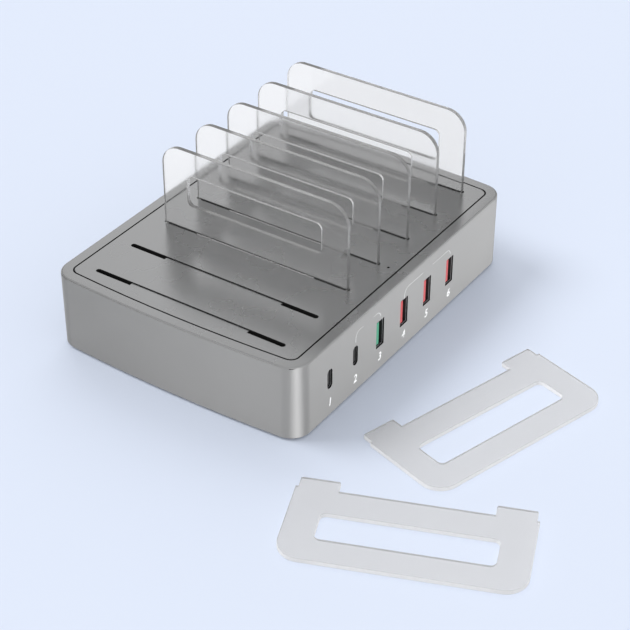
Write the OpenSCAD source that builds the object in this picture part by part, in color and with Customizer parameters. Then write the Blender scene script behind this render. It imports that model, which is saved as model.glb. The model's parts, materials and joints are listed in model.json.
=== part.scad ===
// Desk charging station: a metal box with six charging ports in its long side, seven rows of
// slots in an inlaid top plate, five clear dividers standing in the slots and two more lying
// loose in front of it. Millimetres, +Z up. The origin is the middle of the station on the
// desk, the ports face -Y and the rows of slots follow each other along X.

/* [Body] */
// Length of the body along the rows of slots, at the middle of its bowed ends
body_length = 168; // [150:1:190]
// Width of the body from the port side to the back
body_width = 124; // [112:1:140]
// Height of the top above the desk
body_height = 36.2; // [35:0.2:42]
// Radius of the upright corners, seen from above
corner_r = 9.2; // [8:0.2:12]
// How far each short end bows outwards
end_bow = 2.5; // [1:0.1:4]
// Radius of the rounded top edge
edge_r = 0.8; // [0.4:0.1:1.5]
// Thickness of the side walls
wall_t = 2.2; // [1.6:0.1:2.6]

/* [Top plate] */
// Width of the metal rim round the inlaid plate
rim_w = 5.05; // [4:0.05:6]
// Width of the dark gap between rim and plate
plate_gap = 0.7; // [0.4:0.05:1]
// Thickness of the plate
plate_t = 2; // [1.6:0.1:3]
// Radius of the pinhole over the status light
pinhole_r = 0.6; // [0.4:0.1:0.8]

/* [Slots] */
// Distance from the body's sides to the slots' tips, and from its ends to the first and last row
slot_margin = 14.1; // [13:0.1:16]
// Gap between a divider's face and the side of its slot
slot_clear = 0.2; // [0.1:0.05:0.4]
// Length of each slot
slot_length = 18.1; // [14:0.1:22]
// Depth of the shallow groove that joins the two slots of a row
groove_depth = 0.5; // [0.3:0.1:0.8]

/* [Dividers] */
// Thickness of a divider
divider_t = 2; // [1.5:0.1:3]
// Height of a divider above its shoulders
divider_h = 39.8; // [34:0.2:60]
// Radius of a divider's two top corners
divider_corner_r = 9.4; // [4:0.2:12]
// Width of the solid sheet on each side of the window
window_side = 12.9; // [11:0.1:24]
// Height of the window
window_h = 14.5; // [8:0.5:18]
// Distance from the divider's top edge to the window
window_drop = 12; // [8:0.5:14]
// Length of a divider's tabs below its shoulders
tab_length = 5.5; // [4:0.1:6]

/* [Loose dividers] */
// Middle of the first loose divider's tab edge, along X
loose_1_x = -81.3; // [-90:0.1:-78]
// The same point along Y
loose_1_y = -117.8; // [-124:0.1:-116]
// Turn of the first loose divider on the desk
loose_1_turn = 111.4; // [110:0.1:114]
// Middle of the second loose divider's tab edge, along X
loose_2_x = -19.2; // [-20:0.1:10]
// The same point along Y
loose_2_y = -94.2; // [-98:0.1:-92]
// Turn of the second loose divider on the desk
loose_2_turn = 163.2; // [161:0.1:170]

/* [Ports] */
// Distance from the body's end to the middle of the first port
first_port_inset = 25; // [24:0.5:28]
// Distance from one port to the next
port_pitch = 18.75; // [18:0.05:19.5]
// Height of the ports' middle above the desk, as a share of the body's height
port_share = 0.53; // [0.52:0.005:0.56]

/* [Hidden] */
round_fn = 48;
hole_fn = 32;
joint_clear = 0.05;
far = 200;
metal = "#8f9093";
metal_bright = "#c9ccd0";
black_plastic = "#17181a";
rubber_black = "#202123";
clear_sheet = "#dfe6ea";
board_green = "#1f5a3a";
red_plastic = "#c8202c";
green_plastic = "#12905a";
copper = "#b4713c";
gold = "#d8b24c";
ferrite = "#3b3c40";
tape_yellow = "#d9b52f";

// Counts that the object shows
row_count = 7;
first_filled_row = 3;
divider_count = 5;
loose_count = 2;
usb_c_count = 2;
usb_a_count = 4;
port_count = usb_c_count + usb_a_count;

// Levels, from the desk upwards
edge_z = 0.8;
cover_z = 1.2;
cover_t = 2.2;
cover_top = cover_z + cover_t;
pad_top = cover_top + 1;
port_z = port_share * body_height;
usb_a_h = 13.12;
board_t = 1.6;
connector_h = 2;
port_board_top = port_z - usb_a_h / 2 - joint_clear;
port_board_z = port_board_top - board_t;
power_top = port_board_z - connector_h;
power_z = power_top - board_t;
tray_t = 1.5;
ledge_t = 2;
z_top = body_height;
plate_z = z_top - plate_t;
ledge_z = plate_z - tray_t;
roof_z = ledge_z - ledge_t;
shoulder_z = z_top - groove_depth + joint_clear;

// The outline seen from above: straight sides, bowed ends and round corners
half_l = body_length / 2;
half_w = body_width / 2;
corner_steps = 10;
bow_steps = 8;
bow_r = (half_w * half_w + end_bow * end_bow) / (2 * end_bow);
bow_x = bow_r - half_l;
corner_y = half_w - corner_r;
corner_x = sqrt(pow(bow_r - corner_r, 2) - pow(corner_y, 2)) - bow_x;
bow_a = atan2(corner_y, corner_x + bow_x);
plate_inset = rim_w + plate_gap;
flange_inset = rim_w + 0.15;
cover_inset = wall_t + 0.2;

// Fasteners
boss_r = 3.5;
boss_x = half_l - 10.5;
boss_y = half_w - 8;
base_screw_r = 1.2;
base_screw_l = 11.2;
base_head_r = 2.6;
base_head_h = 1.8;
counterbore_r = 2.9;
board_screw_r = 1.1;
board_head_r = 2.2;
board_head_h = 1.4;
board_screw_l = 4;
board_pilot = board_screw_l - board_t + 0.3;
pilot_r = board_screw_r + joint_clear;

// The non-slip ring under the base
ring_w = 5;
ring_h = 2;
ring_r = 10;
ring_l = body_length - 32;
ring_d = body_width - 32;

// Slots and the tray's pockets
slot_w = divider_t + 2 * slot_clear;
slot_reach = half_w - slot_margin;
slot_inner = slot_reach - slot_length;
slot_pitch = 2 * (half_l - slot_margin) / (row_count - 1);
pocket_gap = 0.2;
pocket_w = slot_w + pocket_gap;
pocket_wall = 1.2;
tab_floor_gap = 0.6;
pocket_z = z_top - groove_depth - tab_length - tab_floor_gap;
opening_x = (row_count - 1) / 2 * slot_pitch + pocket_w / 2 + pocket_wall + 0.8;
opening_y = slot_reach + pocket_gap + pocket_wall + 0.7;

// Dividers
divider_w = 2 * (slot_reach - 0.8);
window_w = divider_w - 2 * window_side;
tab_outer = divider_w / 2 - 1.1;
tab_inner = slot_inner + 0.5;
tab_chamfer = 0.8;
window_r = 2.5;

// Ports
port_face = -half_w;
shell_face = port_face + 0.6;
usb_wall = 0.3;
usb_a = [5.72, 14, usb_a_h];
usb_a_hole = [5.9, 13.3];
usb_a_block = 2;
tongue_a = [1.84, 11.1];
tongue_a_x = -0.98;
usb_c = [3.26, 7.3, 8.94];
usb_c_leg = [usb_wall, 1.4, port_z - port_board_top];
usb_c_hole = [3.6, 9.5];
usb_c_block = 1.9;
tongue_c = [0.7, 6.7];
tongue_setback = 0.5;

// Boards
port_board_front = port_face + wall_t + 1.2;
port_board_d = 31.6;
port_board_back = port_board_front + port_board_d;
port_board_x0 = port_x(1) - 10;
port_board_x1 = port_x(port_count) + 12;
port_post_r = 2.6;
port_posts = [
    for (x = [port_board_x0 + 3, port_board_x1 - 4])
        for (y = [port_board_front + 3, port_board_back - 11]) [x, y]
];
power_half = half_l - 18;
power_front = port_board_back - 7;
power_back = half_w - 8;
power_post_r = 3;
power_posts = [
    for (x = [-1, 1])
        for (y = [power_front + 6, power_back - 8]) [x * (power_half - 3.5), y]
];

// Status light
light_y = -(slot_reach + 4.1);
light_board = [14, 7, 1];
light_board_top = roof_z - 1.5;
light_board_y = light_y - 1.9;
light_pegs = 5;
pipe_r = pinhole_r - 0.05;
collar_r = 1.3;

// Mains inlet in the back
inlet_x = half_l - 34;
inlet = [19.2, 18, 12];
inlet_z = power_top + inlet[2] / 2;
inlet_front = half_w - 0.4;
inlet_lobe = 4.3;
inlet_pin_r = 1.2;
inlet_depth = 11.5;
inlet_r = 2.5;

// Parts on the power board: across its depth as shares of it, and along it from the inlet, the
// body's middle or its far end
board_d = power_back - power_front;
transformer_at = [inlet_x - 30, power_front + 0.4 * board_d];
choke_at = [inlet_x - 2, power_front + 0.7 * board_d];
bulk_caps_at = [for (x = [42, 55.5]) [inlet_x - x, power_front + 0.66 * board_d]];
output_caps_at = [
    for (x = [46, 58])
        for (share = [0.25, 0.4]) [x - half_l, power_front + share * board_d]
];
line_cap = [13, 6, 11];
line_cap_at = [inlet_x - 26, power_back - line_cap[1]];
fuse_r = 3.6;
fuse_h = 8;
fuse_at = [inlet_x - 15, power_back - 10];
bridge = [14, 3.6, 10];
bridge_at = [inlet_x - 26, power_front + 0.75 * board_d];
sink_1_at = [46 - half_l, power_back - 14];
sink_2_at = [-6, power_front + 0.38 * board_d];
transistor = [10, 4.4, 14];
bulk_cap = [6.3, 17.5];
output_cap = [4, 12];
chips = [
    [34 - half_l, power_front + 0.27 * board_d, power_top],
    [34 - half_l, power_front + 0.5 * board_d, power_top],
    [(port_x(1) + port_x(2)) / 2, port_board_back - 13, port_board_top],
    [(port_x(3) + port_x(4)) / 2, port_board_back - 13, port_board_top],
    [(port_x(5) + port_x(6)) / 2, port_board_back - 13, port_board_top]
];
chip = [7, 5, 1.4];
inductor = [6.5, 6.5, 4];

// Transformer: an E-shaped core with two windows round a round middle leg
leg_r = 3.8;
core = [26, 11, 16];
core_window = [18.4, 10];
core_z = power_top + 1.5;
bobbin_t = 0.8;
bobbin_r = core_window[0] / 2 - 0.2;
window_z = core_z + (core[2] - core_window[1]) / 2;
bobbin_foot = [18, 5, window_z + 0.5 - power_top];
bobbin_foot_y = (core[1] + bobbin_foot[1]) / 2 + 0.5;

// Choke: a ring core in two windings
choke_r = [4, 8];
choke_h = 6;
choke_wire = 0.9;

function row_x(row) = (row - (row_count + 1) / 2) * slot_pitch;
function port_x(port) = -half_l + first_port_inset + (port - 1) * port_pitch;

// The body's outline drawn in by an inset, as points that run anticlockwise
function outline(inset) = let (
    r = corner_r - inset,
    end = concat(
        [for (k = [0:corner_steps]) let (a = -90 + (90 - bow_a) * k / corner_steps)
            [corner_x + r * cos(a), -corner_y + r * sin(a)]],
        [for (k = [1:bow_steps - 1]) let (a = bow_a * (2 * k / bow_steps - 1))
            [(bow_r - inset) * cos(a) - bow_x, (bow_r - inset) * sin(a)]],
        [for (k = [0:corner_steps]) let (a = bow_a + (90 - bow_a) * k / corner_steps)
            [corner_x + r * cos(a), corner_y + r * sin(a)]]
    )
) concat(end, [for (p = end) [-p[0], -p[1]]]);

// An upright slab of the body's outline, drawn in by an inset
module slab(inset, z0, z1) {
    translate([0, 0, z0]) linear_extrude(z1 - z0) polygon(outline(inset));
}

module disc(x, y, z0, z1, r, fn = hole_fn) {
    translate([x, y, z0]) cylinder(h = z1 - z0, r = r, $fn = fn);
}

module block(x, y, z0, size) {
    translate([x - size[0] / 2, y - size[1] / 2, z0]) cube(size);
}

// A flat rectangle with round corners, centred
module rounded(w, h, r) {
    square([w - 2 * r, h], center = true);
    square([w, h - 2 * r], center = true);
    for (x = [-1, 1]) for (y = [-1, 1])
        translate([x * (w / 2 - r), y * (h / 2 - r)]) circle(r = r, $fn = round_fn);
}

// A flat upright oval with fully round ends, centred
module oval(w, h) {
    square([w, h - w], center = true);
    for (y = [-1, 1]) translate([0, y * (h - w) / 2]) circle(d = w, $fn = round_fn);
}

// A shape drawn in X and Z, reaching back along Y from y0
module along_y(x, y0, z, depth) {
    translate([x, y0 + depth, z]) rotate([90, 0, 0]) linear_extrude(depth) children();
}

// The outer form: a small chamfer at the foot, straight walls and a rounded top edge
module outer_form() {
    steps = 4;
    foot = 0.4;
    rings = concat(
        [[edge_z, foot], [edge_z + foot, 0]],
        [for (k = [0:steps]) let (a = 90 * k / steps)
            [z_top - edge_r + edge_r * sin(a), edge_r * (1 - cos(a))]]
    );
    count = len(outline(0));
    last = len(rings) - 1;
    points = [for (ring = rings) for (p = outline(ring[1])) [p[0], p[1], ring[0]]];
    sides = [for (j = [0:last - 1]) for (i = [0:count - 1]) let (n = (i + 1) % count)
        [j * count + i, (j + 1) * count + i, (j + 1) * count + n, j * count + n]];
    foot_face = [for (i = [0:count - 1]) i];
    top_face = [for (i = [0:count - 1]) last * count + count - 1 - i];
    polyhedron(points, concat([foot_face, top_face], sides));
}

module boss_ribs() {
    for (x = [-1, 1]) for (y = [-1, 1]) {
        end = half_l - end_bow - wall_t + 0.6;
        translate([min(x * boss_x, x * end), y * boss_y - 0.8, pad_top + 6])
            cube([end - boss_x, 1.6, roof_z - pad_top - 5.8]);
        side = half_w - wall_t + 0.4;
        translate([x * boss_x - 0.8, min(y * boss_y, y * side), pad_top + 6])
            cube([1.6, side - boss_y, roof_z - pad_top - 5.8]);
    }
}

module housing() color(metal) difference() {
    union() {
        difference() {
            outer_form();
            slab(rim_w, ledge_z, z_top + 1);
            slab(wall_t, edge_z - 1, roof_z);
            translate([-opening_x, -opening_y, roof_z - 1])
                cube([2 * opening_x, 2 * opening_y, ledge_t + 2]);
        }
        for (x = [-1, 1]) for (y = [-1, 1])
            disc(x * boss_x, y * boss_y, pad_top, roof_z + 0.5, boss_r, round_fn);
        boss_ribs();
        for (x = [-1, 1]) {
            disc(x * light_pegs, light_board_y, light_board_top, roof_z + 0.5, 1.5);
            disc(x * light_pegs, light_board_y, light_board_top - 1.4, roof_z, 0.6);
        }
    }
    for (x = [-1, 1]) for (y = [-1, 1])
        disc(x * boss_x, y * boss_y, pad_top - 1, pad_top + 12, base_screw_r + joint_clear);
    for (port = [1:usb_c_count])
        along_y(port_x(port), port_face - 1, port_z, wall_t + 2)
            oval(usb_c_hole[0], usb_c_hole[1]);
    for (port = [usb_c_count + 1:port_count])
        along_y(port_x(port), port_face - 1, port_z, wall_t + 2)
            rounded(usb_a_hole[0], usb_a_hole[1], 0.3);
    along_y(inlet_x, half_w - wall_t - 1, inlet_z, wall_t + 2)
        rounded(inlet[0] + 0.3, inlet[2] + 0.3, inlet_r);
    disc(0, light_y, roof_z - 1, ledge_z + 1, pinhole_r);
    disc(0, light_y, roof_z - 1, roof_z + 0.5, collar_r + 0.1);
}

// One slot seen from above: square at its inner end, round at its outer tip
module slot_shape(w, inner, reach) {
    translate([-w / 2, inner]) square([w, reach - inner - w / 2]);
    translate([0, reach - w / 2]) circle(d = w, $fn = round_fn);
}

module top_plate() color(metal) difference() {
    slab(plate_inset, plate_z, z_top);
    for (row = [1:row_count]) translate([row_x(row), 0, 0]) {
        for (turn = [0, 180]) rotate(turn) {
            translate([0, 0, plate_z - 1]) linear_extrude(plate_t + 2)
                slot_shape(slot_w, slot_inner, slot_reach);
            translate([0, 0, z_top - groove_depth]) linear_extrude(groove_depth + 1)
                slot_shape(slot_w, -1, slot_reach);
        }
    }
    disc(0, light_y, plate_z - 1, z_top + 1, pinhole_r);
}

module slot_tray() color(black_plastic) difference() {
    union() {
        slab(flange_inset, ledge_z, plate_z);
        for (row = [1:row_count]) for (turn = [0, 180])
            translate([row_x(row), 0, pocket_z - pocket_wall]) rotate(turn)
                linear_extrude(ledge_z - pocket_z + pocket_wall + 0.5)
                    slot_shape(pocket_w + 2 * pocket_wall, slot_inner - pocket_gap - pocket_wall,
                        slot_reach + pocket_gap + pocket_wall);
    }
    for (row = [1:row_count]) for (turn = [0, 180])
        translate([row_x(row), 0, pocket_z]) rotate(turn) linear_extrude(far)
            slot_shape(pocket_w, slot_inner - pocket_gap, slot_reach + pocket_gap);
    disc(0, light_y, ledge_z - 1, plate_z + 1, pinhole_r);
}

module ring_shape(grow) {
    difference() {
        rounded(ring_l + 2 * grow, ring_d + 2 * grow, ring_r + grow);
        rounded(ring_l - 2 * ring_w - 2 * grow, ring_d - 2 * ring_w - 2 * grow,
            ring_r - ring_w - grow);
    }
}

module base_vents() {
    pitch = 10;
    for (k = [-4:4]) for (y = [-18, 18])
        translate([k * pitch, y, cover_z - 1]) linear_extrude(cover_t + 2) oval(2.4, 30);
}

module base_cover() color(black_plastic) difference() {
    union() {
        slab(cover_inset, cover_z, cover_top);
        for (x = [-1, 1]) for (y = [-1, 1])
            disc(x * boss_x, y * boss_y, cover_top - 0.5, pad_top, 4.5, round_fn);
        for (p = port_posts)
            disc(p[0], p[1], cover_top - 0.5, port_board_z, port_post_r);
        for (p = power_posts)
            disc(p[0], p[1], cover_top - 0.5, power_z, power_post_r);
    }
    translate([0, 0, cover_z - 1]) linear_extrude(ring_h - cover_z + 1) ring_shape(0.1);
    for (x = [-1, 1]) for (y = [-1, 1]) {
        disc(x * boss_x, y * boss_y, cover_z - 1, pad_top - 1.2, counterbore_r);
        disc(x * boss_x, y * boss_y, cover_z, pad_top + 1, base_screw_r + 0.4);
    }
    for (p = port_posts) disc(p[0], p[1], port_board_z - board_pilot, far, pilot_r);
    for (p = power_posts) disc(p[0], p[1], power_z - board_pilot, far, pilot_r);
    base_vents();
}

// A pan-head screw on the Z axis with its head's flat face at z = 0 and its shank pointing up
module screw(head_r, head_h, shank_r, length) {
    difference() {
        union() {
            translate([0, 0, -head_h]) cylinder(h = head_h, r = head_r, $fn = round_fn);
            cylinder(h = length, r = shank_r, $fn = hole_fn);
        }
        for (turn = [0, 90]) rotate(turn)
            translate([-head_r * 0.6, -0.35, -head_h - 1]) cube([head_r * 1.2, 0.7, 2]);
    }
}

module base_screws() color(metal_bright) {
    for (x = [-1, 1]) for (y = [-1, 1])
        translate([x * boss_x, y * boss_y, pad_top - 1.2])
            screw(base_head_r, base_head_h, base_screw_r, base_screw_l);
}

module base_ring() color(rubber_black) linear_extrude(ring_h) ring_shape(0);

// A divider drawn flat: shoulders at y = 0, tabs below them, round corners at the top
module divider_shape() {
    half = divider_w / 2;
    shoulder = divider_h - divider_corner_r;
    side = [
        [tab_inner, 0],
        [tab_inner, tab_chamfer - tab_length],
        [tab_inner + tab_chamfer, -tab_length],
        [tab_outer - tab_chamfer, -tab_length],
        [tab_outer, tab_chamfer - tab_length],
        [tab_outer, 0],
        [half, 0],
        [half, shoulder]
    ];
    count = len(side);
    difference() {
        union() {
            polygon(concat(side, [for (k = [1:count]) [-side[count - k][0], side[count - k][1]]]));
            translate([divider_corner_r - half, shoulder - 1])
                square([divider_w - 2 * divider_corner_r, divider_corner_r + 1]);
            for (x = [-1, 1]) translate([x * (half - divider_corner_r), shoulder])
                circle(r = divider_corner_r, $fn = 72);
        }
        translate([0, divider_h - window_drop - window_h / 2]) rounded(window_w, window_h, window_r);
    }
}

module divider(k) color(clear_sheet, 0.5) {
    translate([row_x(first_filled_row + k - 1) - divider_t / 2, 0, shoulder_z])
        rotate([90, 0, 90]) linear_extrude(divider_t) divider_shape();
}

module loose_divider(k) color(clear_sheet, 0.5) {
    x = k == 1 ? loose_1_x : loose_2_x;
    y = k == 1 ? loose_1_y : loose_2_y;
    turn = k == 1 ? loose_1_turn : loose_2_turn;
    translate([x, y, 0]) rotate(turn) translate([0, tab_length, 0])
        linear_extrude(divider_t) divider_shape();
}

module light_pipe() color("#e8eef2") {
    disc(0, light_y, light_board_top + 1.3, z_top - 0.1, pipe_r);
    disc(0, light_y, light_board_top + 1.3, roof_z + 0.45, collar_r);
}

module led_board() color(board_green) difference() {
    block(0, light_board_y, light_board_top - light_board[2], light_board);
    for (x = [-1, 1])
        disc(x * light_pegs, light_board_y, light_board_top - 3, light_board_top + 1, 0.65);
}

module status_led() color("#f4f2e6") block(0, light_y, light_board_top, [1.6, 1.6, 1.2]);

module port_board() color(board_green) difference() {
    translate([port_board_x0, port_board_front, port_board_z])
        cube([port_board_x1 - port_board_x0, port_board_d, board_t]);
    for (p = port_posts)
        disc(p[0], p[1], port_board_z - 1, port_board_top + 1, board_screw_r + 0.2);
}

module power_board() color(board_green) difference() {
    translate([-power_half, power_front, power_z])
        cube([2 * power_half, power_back - power_front, board_t]);
    for (p = power_posts)
        disc(p[0], p[1], power_z - 1, power_top + 1, board_screw_r + 0.2);
}

module board_connector() color(black_plastic)
    block(-10, port_board_back - 3.5, power_top, [20, 5, connector_h]);

module board_screws() color(metal_bright) {
    for (p = port_posts) translate([p[0], p[1], port_board_top]) rotate([180, 0, 0])
        screw(board_head_r, board_head_h, board_screw_r, board_screw_l);
    for (p = power_posts) translate([p[0], p[1], power_top]) rotate([180, 0, 0])
        screw(board_head_r, board_head_h, board_screw_r, board_screw_l);
}

// Receptacle with the long side upright, and two spring windows in each long wall
module usb_a_shell(k) color(metal_bright) {
    x = port_x(usb_c_count + k);
    z0 = port_z - usb_a[2] / 2;
    difference() {
        translate([x - usb_a[0] / 2, shell_face, z0]) cube(usb_a);
        translate([x - usb_a[0] / 2 + usb_wall, shell_face - 1, z0 + usb_wall])
            cube([usb_a[0] - 2 * usb_wall, usb_a[1] + 2, usb_a[2] - 2 * usb_wall]);
        for (z = [-1, 1]) translate([x - usb_a[0], shell_face + 4, port_z + z * 3 - 1])
            cube([2 * usb_a[0], 4.5, 2]);
    }
}

module usb_a_tongue(k) color(k == 1 ? green_plastic : red_plastic) {
    x = port_x(usb_c_count + k);
    back = shell_face + usb_a[1];
    inner = [usb_a[0] - 2 * usb_wall - 0.1, usb_a_block, usb_a[2] - 2 * usb_wall - 0.1];
    front = shell_face + tongue_setback;
    translate([x - inner[0] / 2, back - usb_a_block, port_z - inner[2] / 2]) cube(inner);
    translate([x + tongue_a_x - tongue_a[0] / 2, front, port_z - tongue_a[1] / 2])
        cube([tongue_a[0], back - usb_a_block - front + 0.5, tongue_a[1]]);
}

module usb_a_contacts() color(gold) {
    back = shell_face + usb_a[1];
    front = shell_face + tongue_setback + 1;
    blade = [0.2, back - usb_a_block - front - 0.5, 1];
    for (k = [1:usb_a_count]) for (z = [-3.5, -1, 1, 3.5]) {
        x = port_x(usb_c_count + k) + tongue_a_x + tongue_a[0] / 2;
        translate([x, front, port_z + z - 0.5]) cube(blade);
        translate([x + z * 0.3, back, port_board_top])
            cube([0.4, 0.6, port_z + z - port_board_top]);
    }
}

// Receptacle with the long side upright, standing on four legs
module usb_c_shell(k) color(metal_bright) {
    x = port_x(k);
    difference() {
        union() {
            along_y(x, shell_face, port_z, usb_c[1]) oval(usb_c[0], usb_c[2]);
            for (side = [-1, 1]) for (y = [2.7, 5.7])
                block(x + side * (usb_c[0] - usb_wall) / 2, shell_face + y, port_board_top, usb_c_leg);
        }
        along_y(x, shell_face - 1, port_z, usb_c[1] + 2)
            oval(usb_c[0] - 2 * usb_wall, usb_c[2] - 2 * usb_wall);
    }
}

module usb_c_tongue(k) color(black_plastic) {
    x = port_x(k);
    back = shell_face + usb_c[1];
    front = shell_face + tongue_setback;
    along_y(x, back - usb_c_block, port_z, usb_c_block)
        oval(usb_c[0] - 2 * usb_wall - 0.1, usb_c[2] - 2 * usb_wall - 0.1);
    translate([x - tongue_c[0] / 2, front, port_z - tongue_c[1] / 2])
        cube([tongue_c[0], back - usb_c_block - front + 0.5, tongue_c[1]]);
}

module usb_c_contacts() color(gold) {
    front = shell_face + tongue_setback + 0.5;
    blade = [0.1, 3.6, 0.26];
    for (k = [1:usb_c_count]) for (side = [-1, 1]) for (i = [0:11]) {
        x = port_x(k) + side * (tongue_c[0] + blade[0]) / 2;
        z = port_z + (i - 5.5) * 0.5;
        translate([x - blade[0] / 2, front, z - blade[2] / 2]) cube(blade);
    }
}

module inlet_lobes(r) {
    for (x = [-1, 1]) translate([x * inlet_lobe, 0]) circle(r = r, $fn = round_fn);
    square([2 * inlet_lobe, 1.6 * r], center = true);
}

// Two-pin inlet: the body passes through the back wall, with a flange behind the wall
module inlet_body() color(black_plastic) {
    back = inlet_front - inlet[1];
    difference() {
        union() {
            along_y(inlet_x, back, inlet_z, inlet[1]) rounded(inlet[0], inlet[2], inlet_r);
            translate([inlet_x - inlet[0] / 2 - 2, half_w - wall_t - 2, inlet_z - inlet[2] / 2])
                cube([inlet[0] + 4, 2, inlet[2] + 2]);
        }
        along_y(inlet_x, inlet_front - inlet_depth, inlet_z, inlet_depth + 1) inlet_lobes(inlet_lobe);
        for (x = [-1, 1]) along_y(inlet_x + x * inlet_lobe, back - 1, inlet_z, inlet[1])
            circle(r = inlet_pin_r + joint_clear, $fn = hole_fn);
    }
}

module inlet_pins() color(metal_bright) {
    back = inlet_front - inlet[1];
    for (x = [-1, 1]) {
        along_y(inlet_x + x * inlet_lobe, back - 1, inlet_z, inlet[1] - 0.5)
            circle(r = inlet_pin_r, $fn = hole_fn);
        translate([inlet_x + x * inlet_lobe - 0.6, back - 2, power_top])
            cube([1.2, 1.2, inlet_z - power_top + 0.8]);
    }
}

module transformer_core() color(ferrite) translate([transformer_at[0], transformer_at[1], 0]) {
    difference() {
        block(0, 0, core_z, core);
        block(0, 0, window_z, [core_window[0], 2 * core[1], core_window[1]]);
    }
    disc(0, 0, window_z - 1, window_z + core_window[1] + 1, leg_r, round_fn);
}

module transformer_bobbin() color(black_plastic) translate([transformer_at[0], transformer_at[1], 0]) {
    z0 = window_z + 0.1;
    z1 = window_z + core_window[1] - 0.1;
    difference() {
        union() {
            disc(0, 0, z0, z1, leg_r + 1, round_fn);
            disc(0, 0, z0, z0 + bobbin_t, bobbin_r, round_fn);
            disc(0, 0, z1 - bobbin_t, z1, bobbin_r, round_fn);
            for (y = [-1, 1]) block(0, y * bobbin_foot_y, power_top, bobbin_foot);
        }
        disc(0, 0, z0 - 1, z1 + 1, leg_r + 0.1, round_fn);
    }
}

module transformer_winding() color(tape_yellow) translate([transformer_at[0], transformer_at[1], 0]) {
    z0 = window_z + 0.2 + bobbin_t;
    z1 = window_z + core_window[1] - 0.2 - bobbin_t;
    difference() {
        disc(0, 0, z0, z1, bobbin_r - 0.4, round_fn);
        disc(0, 0, z0 - 1, z1 + 1, leg_r + 1.1, round_fn);
    }
}

module choke_core() color(ferrite) translate([choke_at[0], choke_at[1], power_top]) difference() {
    disc(0, 0, choke_wire + 0.1, choke_wire + 0.1 + choke_h, choke_r[1], round_fn);
    disc(0, 0, 0, choke_h + 3, choke_r[0], round_fn);
}

// Two windings, each round a little under half of the ring
module choke_winding() color(copper) {
    depth = choke_r[1] - choke_r[0];
    for (turn = [15, 195]) translate([choke_at[0], choke_at[1], power_top]) rotate(turn)
        rotate_extrude(angle = 150, $fn = 72) difference() {
            translate([choke_r[0] - choke_wire - 0.1, 0])
                square([depth + 2 * choke_wire + 0.2, choke_h + 2 * choke_wire + 0.2]);
            translate([choke_r[0] - 0.1, choke_wire]) square([depth + 0.2, choke_h + 0.2]);
        }
}

// A can with a crimped groove near its foot
module capacitor(size) {
    r = size[0];
    h = size[1];
    crimp = 0.4;
    rotate_extrude($fn = round_fn) polygon([
        [0, 0],
        [r, 0],
        [r, 1.6],
        [r - crimp, 2],
        [r - crimp, 2.6],
        [r, 3],
        [r, h - crimp],
        [r - crimp, h],
        [0, h]
    ]);
}

module bulk_capacitors() color("#20242c")
    for (p = bulk_caps_at) translate([p[0], p[1], power_top]) capacitor(bulk_cap);

module output_capacitors() color("#2d4f86")
    for (p = output_caps_at) translate([p[0], p[1], power_top]) capacitor(output_cap);

module line_capacitor() color(tape_yellow) block(line_cap_at[0], line_cap_at[1], power_top, line_cap);

module line_fuse() color(black_plastic) disc(fuse_at[0], fuse_at[1], power_top, power_top + fuse_h, fuse_r);

module bridge_rectifier() color(black_plastic) block(bridge_at[0], bridge_at[1], power_top, bridge);

module heat_sink(length) {
    cube([length, 1.6, 16]);
    for (k = [0:floor(length / 5)]) translate([k * 5, 1, 0]) cube([1.2, 6, 16]);
}

module primary_heat_sink() color("#b9bcc0")
    translate([sink_1_at[0] - 15.6, sink_1_at[1], power_top]) heat_sink(31.2);

module secondary_heat_sink() color("#b9bcc0")
    translate([sink_2_at[0], sink_2_at[1] - 13.1, power_top]) rotate(90) heat_sink(26.2);

module power_transistors() color(black_plastic) {
    half_t = transistor[1] / 2;
    for (x = [-8, 8]) block(sink_1_at[0] + x, sink_1_at[1] - half_t, power_top, transistor);
    translate([sink_2_at[0] + half_t, sink_2_at[1], 0]) rotate(90) block(0, 0, power_top, transistor);
}

module controller_chips() color("#26272a") for (c = chips) block(c[0], c[1], c[2], chip);

module port_inductors() color("#55565a")
    for (port = [1:port_count]) block(port_x(port), port_board_back - 5, port_board_top, inductor);

housing();
top_plate();
slot_tray();
base_cover();
base_screws();
base_ring();
for (k = [1:divider_count]) divider(k);
for (k = [1:loose_count]) loose_divider(k);
light_pipe();
status_led();
led_board();
port_board();
power_board();
board_connector();
board_screws();
for (k = [1:usb_c_count]) usb_c_shell(k);
for (k = [1:usb_c_count]) usb_c_tongue(k);
for (k = [1:usb_a_count]) usb_a_shell(k);
for (k = [1:usb_a_count]) usb_a_tongue(k);
usb_c_contacts();
usb_a_contacts();
inlet_body();
inlet_pins();
transformer_core();
transformer_bobbin();
transformer_winding();
choke_core();
choke_winding();
bulk_capacitors();
output_capacitors();
line_capacitor();
line_fuse();
bridge_rectifier();
primary_heat_sink();
secondary_heat_sink();
power_transistors();
controller_chips();
port_inductors();
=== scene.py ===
"""Looks of a charging station organizer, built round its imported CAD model.

Each sub-assembly is a class that builds and dresses its own pieces, and each finish is a frozen
dataclass that makes one material out of shader groups that the finishes share. Sizes are in
millimetres in the frame of the CAD model, and MM turns them into the scene's metres.
"""

import json
import logging
import math
from collections.abc import Callable
from dataclasses import dataclass
from enum import Enum

import bmesh
import bpy
from mathutils import Matrix, Vector

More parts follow.
